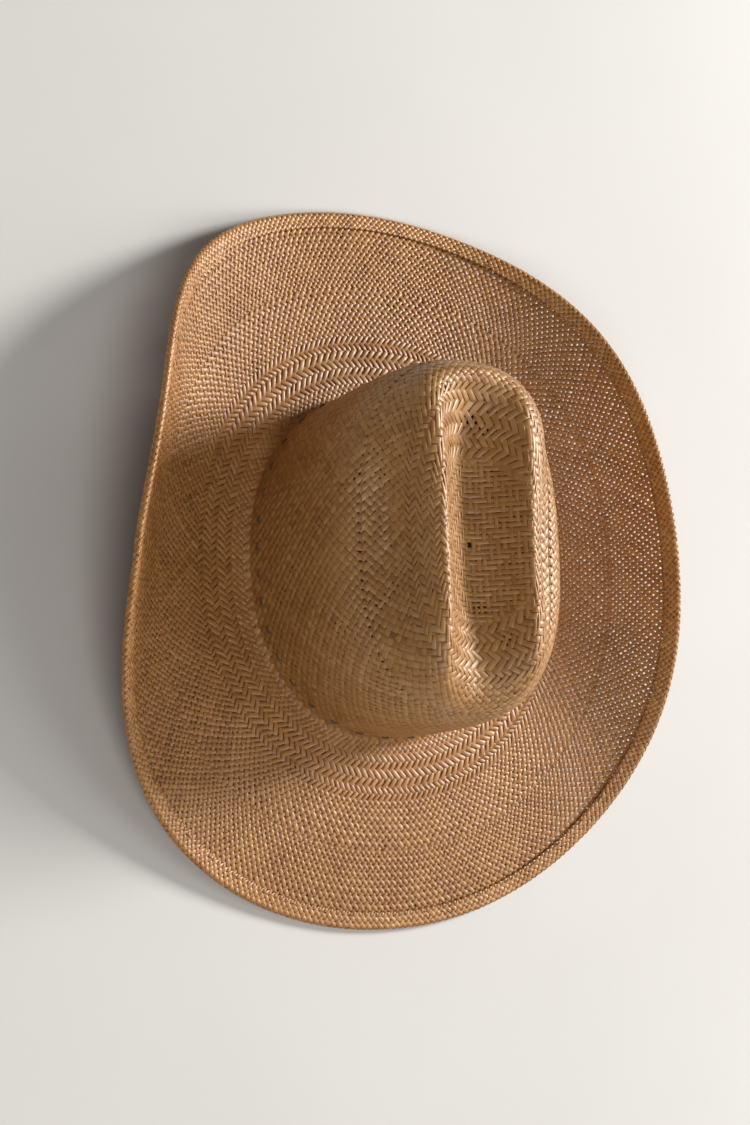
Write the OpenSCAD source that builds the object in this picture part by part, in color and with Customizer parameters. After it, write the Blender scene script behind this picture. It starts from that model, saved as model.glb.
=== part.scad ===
// Woven straw cowboy hat, resting on its brim. Millimetres.
// +X is the front, +Y the wearer's left, +Z up through the crown.
// Crown, brim and rolled hem are the straw body; the hem hides a shaping wire.
// A leather sweatband on a reed and a cotton tape is stitched inside the crown.

/* [Head opening] */
// Outside length of the crown at the brim break
head_length = 195; // [180:1:215]
// Outside width of the crown at the brim break
head_width = 172; // [156:1:186]
// Squareness of the oval at the break, 2 is an ellipse
base_power = 2.2; // [2:0.1:3]

/* [Crown] */
// Height of the ridges above the brim break
crown_height = 116.5; // [95:0.5:130]
// Length of the crown near its top, front half
top_front = 96; // [86:1:104]
// Length of the crown near its top, back half
top_back = 107; // [90:1:110]
// Half width of the crown near its top, before the side dents
top_side = 68; // [60:1:80]
// Squareness of the oval at the top
top_power = 2.6; // [2:0.1:3.2]
// Corner squareness of the front profile
front_power = 5; // [3:0.1:7]
// Corner squareness of the back profile
back_power = 6.5; // [3:0.1:8]
// Corner squareness of the side profile
side_power = 5.2; // [3:0.1:7]
// Thickness of the woven straw
straw_thick = 1.6; // [1.2:0.1:2.4]

/* [Creases] */
// Depth of the centre channel below the ridges
channel_depth = 24; // [8:1:32]
// Half distance between the two ridges
ridge_half = 27.5; // [22:0.5:34]
// Distance from the middle to the front end of the channel
channel_front = 95; // [80:1:98]
// Distance from the middle to the back end of the channel
channel_back = 92; // [80:1:98]
// Depth of the two side dents
dent_depth = 24; // [8:1:30]
// Distance of the dent's middle from the ridge, along the crown
dent_reach = 44; // [36:1:52]
// Spread of the dent across the crown
dent_spread = 28; // [20:1:32]
// Spread of the dent along the crown
dent_length = 60; // [45:1:75]

/* [Brim] */
// Width of the brim at the front
brim_front = 106; // [85:1:115]
// Width of the brim at the back
brim_back = 112; // [85:1:118]
// Width of the brim at the sides, measured along its curl
brim_side = 107; // [85:1:115]
// Drop of the front and back edges below the break
brim_drop = 10; // [6:0.5:18]
// Angle of the curl at the edge of the sides, in degrees
curl = 65; // [35:1:75]
// Share of the curl that moves from the front to the back
curl_shift = 0.85; // [0:0.05:0.9]
// Angle of the sides at the break, in degrees
side_start = -5; // [-8:1:8]
// How narrow the curled part is, seen from above
curl_power = 2.75; // [1.5:0.05:4]

/* [Hem and wire] */
// Width of the folded hem
hem_width = 9.6; // [8:0.2:14]
// Radius of the shaping wire
wire_radius = 0.7; // [0.5:0.05:0.8]
// Number of hem stitches on each face
hem_stitch_count = 72; // [36:4:96]

/* [Sweatband] */
// Height of the leather sweatband
band_height = 32; // [25:1:38]
// Thickness of the leather
band_thick = 1.2; // [0.8:0.1:1.4]
// Number of stitches that hold the sweatband
band_stitch_count = 36; // [24:2:48]

/* [Hidden] */
around = 96;          // steps round the hat
crown_rows = 30;      // steps from the break to the middle of the crown
brim_rows = 10;       // steps from the break to the hem
half_length = head_length / 2;
half_width = head_width / 2;
half_straw = straw_thick / 2;
channel_power = 1.45; // profile across the channel, from a V at 1 to a round bottom at 2
channel_front_power = 3;
channel_back_power = 6;
dent_middle = 5;      // the dents sit slightly ahead of the middle
dent_power = 2.2;
dent_angle = 50;      // direction of the push, below the horizontal
leaf_outer = 2.2;     // half thickness of the hem at the wire
leaf_edge = 1.9;      // half thickness of the hem at its stitched edge
cavity = 1.15;        // half height of the room round the wire
straw_end = 4.2;      // where the brim's own straw ends inside the hem
wire_in = 2.6;        // wire centre, in from the outer edge
wire_gap = 0.6;       // half the angle between the wire's two ends
ferrule_radius = 1.1;
ferrule_bore = 0.9;
ferrule_length = 14;
thread_radius = 0.3;
stitch_length = 4.4;
hem_stitch_in = 8.2;  // stitch line, in from the outer edge
stitch_height = 9.5;  // stitch line, above the break
reed_radius = 1.1;
reed_in = 2.9;
tape_in = 2;
tape_thick = 0.4;
tape_height = 12;
band_in = 2.6;
band_start = 1.2;
seam_stitch_count = 8;
tag_in = band_in + band_thick + 0.2;
tag_thick = 0.3;
tag_angle = 9;
tag_low = 14;
tag_high = 26;

// ---- outline of the head opening ----

// point of an oval at angle t
function oval(t, a, b, n) =
  let (r = pow(pow(abs(cos(t)) / a, n) + pow(abs(sin(t)) / b, n), -1 / n))
  [r * cos(t), r * sin(t)];

// direction that points straight out of the head opening at angle t
function outward(t) =
  let (p = oval(t, half_length, half_width, base_power))
  let (gx = sign(p[0]) * pow(abs(p[0]), base_power - 1) / pow(half_length, base_power))
  let (gy = sign(p[1]) * pow(abs(p[1]), base_power - 1) / pow(half_width, base_power))
  let (g = norm([gx, gy]))
  [gx / g, gy / g];

function unit(v) = v / norm(v);
function clamp(v) = min(1, max(0, v));
function angle_at(i) = 360 * i / around;

// ---- brim surface ----

function side_share(n) = pow(abs(n[1]), curl_power);
function brim_width(n) =
  let (ends = brim_front * (1 + n[0]) / 2 + brim_back * (1 - n[0]) / 2)
  ends + (brim_side - ends) * side_share(n);
function brim_start(n) = side_start * side_share(n);
function brim_end(n) =
  let (front = -2 * asin(brim_drop / brim_front))
  let (back = -2 * asin(brim_drop / brim_back))
  let (ends = front * (1 + n[0]) / 2 + back * (1 - n[0]) / 2)
  ends + (curl * (1 - curl_shift * n[0]) - ends) * side_share(n);

// point of the brim: u out from the break along the straw, v above its middle
function brim_point(t, u, v) =
  let (p = oval(t, half_length, half_width, base_power), n = outward(t))
  let (turn = u > 0 ? (brim_end(n) - brim_start(n)) * u / brim_width(n) : 0)
  let (start = u > 0 ? brim_start(n) : 0)
  let (half_turn = turn * PI / 360)
  let (chord = u * (abs(half_turn) < 0.001 ? 1 : sin(turn / 2) / half_turn))
  let (out = chord * cos(start + turn / 2) - v * sin(start + turn))
  let (up = chord * sin(start + turn / 2) + v * cos(start + turn))
  [p[0] + n[0] * out, p[1] + n[1] * out, up];

// the same, measured in from the outer edge of the brim
function edge_point(t, inward, v) = brim_point(t, brim_width(outward(t)) - inward, v);

// ---- crown surface ----

// outer face of the crown: t round the hat, q from 0 at the break to 90 at the middle
function crown_point(t, q) =
  let (front = (1 + cos(t)) / 2, back = (1 - cos(t)) / 2, flank = sin(t) * sin(t))
  let (m = (front_power * front + back_power * back) * (1 - flank) + side_power * flank)
  let (d = pow(pow(cos(q), m) + pow(sin(q), m), 1 / m))
  let (r = cos(q) / d, h = sin(q) / d)
  let (p = oval(t, half_length, half_width, base_power + (top_power - base_power) * h))
  let (reach = top_front * front + top_back * back)
  let (x = p[0] * r * (1 - (1 - reach / half_length) * h))
  let (y = p[1] * r * (1 - (1 - top_side / half_width) * h))
  let (z = crown_height * h)
  let (end = abs(x) / (x > 0 ? channel_front : channel_back))
  let (fade = clamp(1 - pow(end, x > 0 ? channel_front_power : channel_back_power)))
  let (groove = clamp(1 - pow(abs(y / ridge_half), channel_power)))
  let (s = abs(y) - ridge_half + crown_height - z)
  let (along = pow(abs((x - dent_middle) / dent_length), dent_power))
  let (across = pow((s - dent_reach) / dent_spread, 2))
  let (outside = clamp(2 * abs(y) / ridge_half - 1))
  let (push = dent_depth * exp(-along - across) * outside)
  [x, y - sign(y) * push * cos(dent_angle),
   z - channel_depth * fade * groove * h - push * sin(dent_angle) + half_straw];

// direction that points out of the crown's face
function crown_normal(t, q) =
  let (a = crown_point(t + 0.5, q) - crown_point(t - 0.5, q))
  let (b = crown_point(t, q + 0.5) - crown_point(t, q - 0.5))
  unit(cross(a, b));

function crown_inner(t, q) =
  q == 0 ? crown_point(t, 0) - straw_thick * concat(outward(t), 0)
         : crown_point(t, q) - straw_thick * crown_normal(t, q);

// point inside the crown: h above the break, d in from its outer face
function lining_point(t, h, d) =
  crown_point(t, atan(h / crown_height)) - d * concat(outward(t), 0);

// ---- where the hat lies: lowest point of the hem on the floor, box centred ----

hem_profile = [
  [hem_width, leaf_edge], [1.6, leaf_outer], [0.4, 1.3], [0, 0], [0.4, -1.3],
  [1.6, -leaf_outer], [hem_width, -leaf_edge], [hem_width, -half_straw],
  [straw_end - 0.2, -half_straw], [straw_end - 0.8, -cavity], [1.1, -cavity],
  [1.1, cavity], [straw_end - 0.8, cavity], [straw_end - 0.2, half_straw],
  [hem_width, half_straw]
];
hem_rings = [for (i = [0 : around - 1]) [for (c = hem_profile) edge_point(angle_at(i), c[0], c[1])]];
hem_x = [for (ring = hem_rings) for (p = ring) p[0]];
hem_z = [for (ring = hem_rings) for (p = ring) p[2]];
rest_shift = [-(max(hem_x) + min(hem_x)) / 2, 0, -min(hem_z)];

// ---- building blocks ----

function joined(lists) = [for (list = lists) for (p = list) p];

// two triangles between four corners
function patch(a, b, c, d) = [[a, b, c], [a, c, d]];

// solid swept round the hat: every section holds the same corners
module closed_sweep(sections) {
  rows = len(sections);
  k = len(sections[0]);
  faces = [
    for (i = [0 : rows - 1]) for (j = [0 : k - 1])
      let (next = (i + 1) % rows, side = (j + 1) % k)
      for (f = patch(i * k + j, i * k + side, next * k + side, next * k + j)) f
  ];
  polyhedron(points = joined(sections), faces = faces, convexity = 8);
}

// the same with two flat ends
module open_sweep(sections) {
  rows = len(sections);
  k = len(sections[0]);
  last = (rows - 1) * k;
  sides = [
    for (i = [0 : rows - 2]) for (j = [0 : k - 1])
      let (side = (j + 1) % k)
      for (f = patch(i * k + j, i * k + side, (i + 1) * k + side, (i + 1) * k + j)) f
  ];
  ends = [[for (j = [k - 1 : -1 : 0]) j], [for (j = [0 : k - 1]) last + j]];
  polyhedron(points = joined(sections), faces = concat(sides, ends), convexity = 8);
}

// round thread from one point to another
module thread(from, to, radius) {
  d = to - from;
  translate(from)
    rotate([0, acos(d[2] / norm(d)), atan2(d[1], d[0])])
      cylinder(h = norm(d), r = radius, $fn = 24);
}

// corners of a round section, r across, centred at inward and v on the hem
function wire_section(t) =
  [for (a = [0 : 60 : 300]) edge_point(t, wire_in + wire_radius * cos(a), wire_radius * sin(a))];

// ---- straw body ----

module crown() {
  rows = [for (k = [0 : crown_rows - 1]) 90 * k / crown_rows];
  outer = [for (q = rows) [for (i = [0 : around - 1]) crown_point(angle_at(i), q)]];
  inner = [for (q = rows) [for (i = [0 : around - 1]) crown_inner(angle_at(i), q)]];
  top = [0, 0, crown_height - channel_depth + half_straw];
  under = top - [0, 0, straw_thick];
  size = crown_rows * around;
  peak = 2 * size;
  wall = [
    for (k = [0 : crown_rows - 2]) for (i = [0 : around - 1])
      let (a = k * around + i, b = k * around + (i + 1) % around)
      for (f = concat(
        patch(a, a + around, b + around, b),
        patch(size + a, size + b, size + b + around, size + a + around))) f
  ];
  lid = [
    for (i = [0 : around - 1])
      let (a = (crown_rows - 1) * around + i, b = (crown_rows - 1) * around + (i + 1) % around)
      for (f = [[a, peak, b], [size + a, size + b, peak + 1]]) f
  ];
  foot = [
    for (i = [0 : around - 1])
      let (b = (i + 1) % around)
      for (f = patch(i, b, size + b, size + i)) f
  ];
  color([0.72, 0.52, 0.31])
    translate(rest_shift)
      polyhedron(
        points = concat(joined(outer), joined(inner), [top, under]),
        faces = concat(wall, lid, foot),
        convexity = 10
      );
}

module brim() {
  sections = [
    for (i = [0 : around - 1])
      let (t = angle_at(i), reach = brim_width(outward(t)) - straw_end)
      let (steps = concat([-straw_thick], [for (k = [0 : brim_rows]) reach * k / brim_rows]))
      concat(
        [for (u = steps) brim_point(t, u, half_straw)],
        [for (k = [len(steps) - 1 : -1 : 0]) brim_point(t, steps[k], -half_straw)]
      )
  ];
  color([0.72, 0.52, 0.31])
    translate(rest_shift)
      closed_sweep(sections);
}

module brim_hem() {
  color([0.66, 0.46, 0.27])
    translate(rest_shift)
      closed_sweep([for (ring = hem_rings) [for (j = [len(ring) - 1 : -1 : 0]) ring[j]]]);
}

// ---- inside the hem ----

module brim_wire() {
  span = 360 - 2 * wire_gap;
  sections = [for (i = [0 : around]) wire_section(180 + wire_gap + span * i / around)];
  color([0.55, 0.56, 0.58])
    translate(rest_shift)
      open_sweep([for (s = sections) [for (j = [len(s) - 1 : -1 : 0]) s[j]]]);
}

module wire_ferrule() {
  middle = edge_point(180, wire_in, 0);
  color([0.72, 0.6, 0.35])
    translate(rest_shift + middle)
      rotate([90, 0, 0])
        difference() {
          cylinder(h = ferrule_length, r = ferrule_radius, center = true, $fn = 48);
          cylinder(h = ferrule_length + 1, r = ferrule_bore, center = true, $fn = 48);
        }
}

module hem_stitches() {
  half_angle = 0.6;
  lift = leaf_edge + 0.06 + thread_radius;
  color([0.42, 0.28, 0.16])
    translate(rest_shift)
      for (i = [0 : hem_stitch_count - 1], face = [-1, 1]) {
        t = 360 * (i + 0.5) / hem_stitch_count;
        thread(
          edge_point(t - half_angle, hem_stitch_in, face * lift),
          edge_point(t + half_angle, hem_stitch_in, face * lift),
          thread_radius
        );
      }
}

// ---- sweatband ----

// strip that lines the crown from height low to high, d in from its outer face
module lining_strip(low, high, d, thick, rows) {
  sections = [
    for (i = [0 : around - 1])
      let (t = angle_at(i))
      concat(
        [for (k = [0 : rows]) lining_point(t, low + (high - low) * k / rows, d + thick)],
        [for (k = [rows : -1 : 0]) lining_point(t, low + (high - low) * k / rows, d)]
      )
  ];
  translate(rest_shift)
    closed_sweep(sections);
}

module sweatband() {
  color([0.36, 0.22, 0.13])
    lining_strip(band_start, band_start + band_height, band_in, band_thick, 2);
}

module sweatband_reed() {
  sections = [
    for (i = [0 : around - 1])
      [for (a = [0 : 60 : 300])
        lining_point(angle_at(i), 0, reed_in - reed_radius * cos(a))
          + [0, 0, reed_radius * (sin(a) - 0.3) - half_straw]]
  ];
  color([0.3, 0.18, 0.1])
    translate(rest_shift)
      closed_sweep([for (s = sections) [for (j = [len(s) - 1 : -1 : 0]) s[j]]]);
}

module reed_tape() {
  color([0.86, 0.82, 0.74])
    lining_strip(band_start, band_start + tape_height, tape_in, tape_thick, 1);
}

module sweatband_stitches() {
  faces = [-thread_radius - 0.06, band_in + band_thick + thread_radius + 0.06];
  color([0.3, 0.19, 0.1])
    translate(rest_shift)
      for (i = [0 : band_stitch_count - 1], d = faces) {
        t = 360 * (i + 0.5) / band_stitch_count;
        middle = lining_point(t, stitch_height, d);
        along = [-outward(t)[1], outward(t)[0], 0] * stitch_length / 2;
        thread(middle - along, middle + along, thread_radius);
      }
}

module back_seam_stitches() {
  d = band_in + band_thick + thread_radius + 0.1;
  half = 2.2;
  color([0.88, 0.83, 0.72])
    translate(rest_shift)
      for (k = [0 : seam_stitch_count - 1]) {
        low = band_start + 2 + k * (tag_low - 4) / seam_stitch_count;
        thread(
          lining_point(180, low, d) + [0, -half, 0],
          lining_point(180, low + 1, d) + [0, half, 0],
          thread_radius * 0.8
        );
      }
}

module sweatband_bow() {
  seat = lining_point(180, band_start + 27, tag_in + 1.4);
  color([0.25, 0.15, 0.09])
    translate(rest_shift + seat) {
      for (side = [-1, 1])
        translate([0, side * 5.2, 0])
          scale([0.28, 1, 0.62])
            rotate([0, 90, 0])
              difference() {
                cylinder(h = 3.6, r = 4.4, center = true, $fn = 48);
                cylinder(h = 5, r = 3.2, center = true, $fn = 48);
              }
      cube([1.2, 2, 2.6], center = true);
    }
}

module size_tag() {
  columns = 6;
  sections = [
    for (k = [0 : columns])
      let (t = 180 - tag_angle + 2 * tag_angle * k / columns)
      [lining_point(t, tag_low, tag_in + tag_thick), lining_point(t, tag_high, tag_in + tag_thick),
       lining_point(t, tag_high, tag_in), lining_point(t, tag_low, tag_in)]
  ];
  color([0.93, 0.9, 0.84])
    translate(rest_shift)
      open_sweep(sections);
}

crown();
brim();
brim_hem();
brim_wire();
wire_ferrule();
hem_stitches();
sweatband();
sweatband_reed();
reed_tape();
sweatband_stitches();
back_seam_stitches();
sweatband_bow();
size_tag();
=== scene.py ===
"""Looks of the woven straw cowboy hat: every straw of the weave, the hem, the sweatband and its trim."""

import math
from collections import namedtuple

import bpy
import numpy as np
from mathutils import Matrix, Vector


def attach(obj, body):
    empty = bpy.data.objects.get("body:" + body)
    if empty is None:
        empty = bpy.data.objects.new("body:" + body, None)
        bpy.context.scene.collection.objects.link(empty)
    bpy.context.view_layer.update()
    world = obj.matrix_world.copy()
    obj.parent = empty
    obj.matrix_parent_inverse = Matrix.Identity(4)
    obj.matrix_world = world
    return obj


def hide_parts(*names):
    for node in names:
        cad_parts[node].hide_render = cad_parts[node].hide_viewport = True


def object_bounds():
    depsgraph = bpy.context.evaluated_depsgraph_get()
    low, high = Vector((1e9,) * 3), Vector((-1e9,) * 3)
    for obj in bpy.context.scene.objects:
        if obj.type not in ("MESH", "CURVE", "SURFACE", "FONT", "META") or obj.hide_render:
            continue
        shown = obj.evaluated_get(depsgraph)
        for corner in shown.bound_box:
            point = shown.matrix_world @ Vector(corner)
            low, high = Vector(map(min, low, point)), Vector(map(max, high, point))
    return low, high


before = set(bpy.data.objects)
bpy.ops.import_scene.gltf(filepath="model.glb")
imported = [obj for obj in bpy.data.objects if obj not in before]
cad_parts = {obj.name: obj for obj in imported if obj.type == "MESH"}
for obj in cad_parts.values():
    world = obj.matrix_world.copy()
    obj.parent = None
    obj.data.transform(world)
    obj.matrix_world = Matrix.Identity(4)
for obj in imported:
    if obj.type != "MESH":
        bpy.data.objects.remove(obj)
CAD_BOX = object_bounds()

MM = 0.001
RNG = np.random.default_rng(7)

# Shape of the hat in millimetres and degrees, as in the CAD source.
HALF_LENGTH, HALF_WIDTH, BASE_POWER = 97.5, 86.0, 2.2
CROWN_HEIGHT, TOP_FRONT, TOP_BACK, TOP_SIDE, TOP_POWER = 116.5, 96.0, 107.0, 68.0, 2.6
FRONT_POWER, BACK_POWER, SIDE_POWER, STRAW = 5.0, 6.5, 5.2, 1.6
CHANNEL_DEPTH, RIDGE_HALF, CHANNEL_FRONT, CHANNEL_BACK, CHANNEL_POWER = 24.0, 27.5, 95.0, 92.0, 1.45
DENT_DEPTH, DENT_REACH, DENT_SPREAD, DENT_LENGTH = 24.0, 44.0, 28.0, 60.0
DENT_MIDDLE, DENT_POWER, DENT_ANGLE = 5.0, 2.2, 50.0
BRIM_FRONT, BRIM_BACK, BRIM_SIDE, BRIM_DROP = 106.0, 112.0, 107.0, 10.0
CURL, CURL_SHIFT, SIDE_START, CURL_POWER = 65.0, 0.85, -5.0, 2.75
HEM_WIDTH, LEAF_EDGE, LEAF_OUTER = 9.6, 1.9, 2.2
WIRE_IN, WIRE_RADIUS, HEM_STITCH_IN, HEM_STITCHES = 2.6, 0.7, 8.2, 72
BAND_IN, BAND_THICK, BAND_START, BAND_HEIGHT = 2.6, 1.2, 1.2, 32.0
TAPE_IN, TAPE_THICK, TAPE_HEIGHT = 2.0, 0.4, 12.0
REED_IN, REED_RADIUS = 2.9, 1.1
BAND_STITCHES, STITCH_HEIGHT, STITCH_LENGTH = 36, 9.5, 4.4
TAG_IN, TAG_LOW, TAG_HIGH, TAG_ANGLE = 4.0, 14.0, 26.0, 9.0

# The weave, in millimetres.
STEP = 0.5           # grid step of the straw surface
STRAW_THICK = 0.36
BREAK_WELT = 0.35    # the pressed edge at the break stands up this far
PRESSED, PRESSED_REACH = 0.45, 9.0   # share of its height that the weave loses at the break, and to where
BRIM_STARTS, BRIM_ENDS = 1.2, 102.5  # the brim's weave, out from the break; the hem covers its outer end
HEM_TURN, HEM_BEND, HEM_RISE = 2.2, 1.76, 1.72   # the hem's round edge: its start, its reach and its height
CAP_SHARE, CAP_PITCH = 0.43, 2.8     # the square weave at the middle of the crown
TAIL, DIVE = 0.75, 1.6               # a straw's end dives under the next ring: how many rows, how many waves
WIDER, NARROWER = 1.09, 0.9          # spacing at the start of a ring that narrows on, and of one that widens
UNEVEN = 0.145                       # a ring ends where its spacing is off by this share
# Places on the crown's top where the straws have shrunk and gaps show: x, y and reach.
WORN = [(-78, -19, 4.5), (-64, 2, 5.0), (-58, 9, 3.0), (37, 3, 4.5), (54, 15, 4.0), (20, -17, 3.0)]


def rad(degrees):
    return np.radians(degrees)


# ---- shape ----

def oval(t, a, b, n):
    c, s = np.cos(rad(t)), np.sin(rad(t))
    r = ((np.abs(c) / a) ** n + (np.abs(s) / b) ** n) ** (-1 / n)
    return r * c, r * s


def outward(t):
    x, y = oval(t, HALF_LENGTH, HALF_WIDTH, BASE_POWER)
    gx = np.sign(x) * np.abs(x) ** (BASE_POWER - 1) / HALF_LENGTH**BASE_POWER
    gy = np.sign(y) * np.abs(y) ** (BASE_POWER - 1) / HALF_WIDTH**BASE_POWER
    g = np.hypot(gx, gy)
    return gx / g, gy / g


def brim_width(t):
    nx, ny = outward(t)
    ends = BRIM_FRONT * (1 + nx) / 2 + BRIM_BACK * (1 - nx) / 2
    return ends + (BRIM_SIDE - ends) * np.abs(ny) ** CURL_POWER


def brim_point(t, u, v):
    """u out from the break along the straw, v above its middle."""
    t, u, v = np.broadcast_arrays(*(np.asarray(a, float) for a in (t, u, v)))
    x, y = oval(t, HALF_LENGTH, HALF_WIDTH, BASE_POWER)
    nx, ny = outward(t)
    side = np.abs(ny) ** CURL_POWER
    front, back = (-2 * np.degrees(math.asin(BRIM_DROP / w)) for w in (BRIM_FRONT, BRIM_BACK))
    ends = front * (1 + nx) / 2 + back * (1 - nx) / 2
    start = SIDE_START * side
    end = ends + (CURL * (1 - CURL_SHIFT * nx) - ends) * side
    turn = np.where(u > 0, (end - start) * u / brim_width(t), 0.0)
    start = np.where(u > 0, start, 0.0)
    chord = u * np.sinc(turn / 360)
    middle = rad(start + turn / 2)
    out = chord * np.cos(middle) - v * np.sin(rad(start + turn))
    up = chord * np.sin(middle) + v * np.cos(rad(start + turn))
    return np.stack([x + nx * out, y + ny * out, up], -1)


def edge_point(t, inward, v):
    """The same, measured in from the outer edge."""
    return brim_point(t, brim_width(np.asarray(t, float)) - inward, v)


def crown_point(t, q):
    """Outer face of the crown: q from 0 at the break to 90 at the middle of its top."""
    t, q = np.broadcast_arrays(np.asarray(t, float), np.asarray(q, float))
    front, back = (1 + np.cos(rad(t))) / 2, (1 - np.cos(rad(t))) / 2
    flank = np.sin(rad(t)) ** 2
    m = (FRONT_POWER * front + BACK_POWER * back) * (1 - flank) + SIDE_POWER * flank
    cq, sq = np.clip(np.cos(rad(q)), 0, 1), np.clip(np.sin(rad(q)), 0, 1)
    d = (cq**m + sq**m) ** (1 / m)
    r, h = cq / d, sq / d
    px, py = oval(t, HALF_LENGTH, HALF_WIDTH, BASE_POWER + (TOP_POWER - BASE_POWER) * h)
    reach = TOP_FRONT * front + TOP_BACK * back
    x = px * r * (1 - (1 - reach / HALF_LENGTH) * h)
    y = py * r * (1 - (1 - TOP_SIDE / HALF_WIDTH) * h)
    z = CROWN_HEIGHT * h
    end = np.abs(x) / np.where(x > 0, CHANNEL_FRONT, CHANNEL_BACK)
    fade = np.clip(1 - end ** np.where(x > 0, 3, 6), 0, 1)
    groove = np.clip(1 - np.abs(y / RIDGE_HALF) ** CHANNEL_POWER, 0, 1)
    s = np.abs(y) - RIDGE_HALF + CROWN_HEIGHT - z
    along = np.abs((x - DENT_MIDDLE) / DENT_LENGTH) ** DENT_POWER
    across = ((s - DENT_REACH) / DENT_SPREAD) ** 2
    outside = np.clip(2 * np.abs(y) / RIDGE_HALF - 1, 0, 1)
    push = DENT_DEPTH * np.exp(-along - across) * outside
    down = CHANNEL_DEPTH * fade * groove * h + push * math.sin(rad(DENT_ANGLE))
    return np.stack([x, y - np.sign(y) * push * math.cos(rad(DENT_ANGLE)), z - down + STRAW / 2], -1)


def lining_point(t, h, d):
    """Inside the crown: h above the break, d in from its outer face."""
    t, h, d = np.broadcast_arrays(*(np.asarray(a, float) for a in (t, h, d)))
    nx, ny = outward(t)
    q = np.degrees(np.arctan(h / CROWN_HEIGHT))
    return crown_point(t, q) - np.stack([nx * d, ny * d, 0 * d], -1)


def resting_place():
    """How far the hat's own frame lies from the surface it rests on and the middle of its box."""
    low, high = CAD_BOX
    rim = np.concatenate([edge_point(np.arange(720) / 2, a, 0) for a in (0, 1.6)])
    middle = (rim[:, 0].max() + rim[:, 0].min()) / 2
    hem_low = edge_point(np.arange(720) / 2, 1.6, -LEAF_OUTER)[:, 2].min()
    return np.array([(low[0] + high[0]) / 2 / MM - middle, 0, low[2] / MM - hem_low])


REST = resting_place()


def unit(v):
    return v / np.maximum(np.linalg.norm(v, axis=-1, keepdims=True), 1e-12)


class Grid:
    """A surface held as points on an even grid of t, in half degrees, and w, in steps of STEP."""

    def __init__(self, points, w0):
        self.w0, self.points = w0, points
        rows, columns = points.shape[:2]
        wrapped = np.concatenate([points[:, -2:], points, points[:, :2]], 1)
        by_t = np.gradient(wrapped, axis=1)[:, 2:-2]
        by_w = np.gradient(points, axis=0)
        self.normals = unit(np.cross(by_w, by_t))
        self.rows, self.columns = rows, columns

    def look(self, table, t, w):
        x = (np.asarray(t) % 360) * self.columns / 360
        y = np.clip((np.asarray(w) - self.w0) / STEP, 0, self.rows - 1.001)
        i, j = np.floor(y).astype(int), np.floor(x).astype(int) % self.columns
        fy, fx = (y - i)[..., None], (x - np.floor(x))[..., None]
        k = (j + 1) % self.columns
        low = table[i, j] * (1 - fx) + table[i, k] * fx
        high = table[i + 1, j] * (1 - fx) + table[i + 1, k] * fx
        return low * (1 - fy) + high * fy

    def point(self, t, w):
        return self.look(self.points, t, w)

    def normal(self, t, w):
        return unit(self.look(self.normals, t, w))

    def nearest_row(self, w, last):
        return int(np.clip(round((w - self.w0) / STEP), 0, last))

    def ring_steps(self, w):
        """Distance from each point of the ring at w to the next."""
        ring = self.points[self.nearest_row(w, self.rows - 1)]
        return np.linalg.norm(np.roll(ring, -1, 0) - ring, axis=1)

    def perimeter(self, w):
        return self.ring_steps(w).sum()

    def speed(self, w):
        """Mean length of surface for each millimetre of w."""
        i = self.nearest_row(w, self.rows - 2)
        return np.linalg.norm(self.points[i + 1] - self.points[i], axis=1).mean() / STEP

    def angles(self, w):
        """t for even steps of length round the ring at w: 1441 values over one turn."""
        length = np.concatenate([[0], np.cumsum(self.ring_steps(w))])
        return np.interp(np.linspace(0, length[-1], 1441), length, np.linspace(0, 360, len(length)))


def blurred(rows, reach):
    """Running mean of the rows over reach of them on each side."""
    padded = np.concatenate([rows[:1].repeat(reach, 0), rows, rows[-1:].repeat(reach, 0)])
    total = np.cumsum(np.concatenate([0 * padded[:1], padded]), 0)
    return (total[2 * reach + 1:] - total[:-2 * reach - 1]) / (2 * reach + 1)


def rounded(rows, reach):
    """Running mean along each row, which is a closed ring."""
    wrapped = np.concatenate([rows[:, -reach:], rows, rows[:, :reach]], 1)
    total = np.cumsum(np.concatenate([0 * wrapped[:, :1], wrapped], 1), 1)
    return (total[:, 2 * reach + 1:] - total[:, :-2 * reach - 1]) / (2 * reach + 1)


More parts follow.
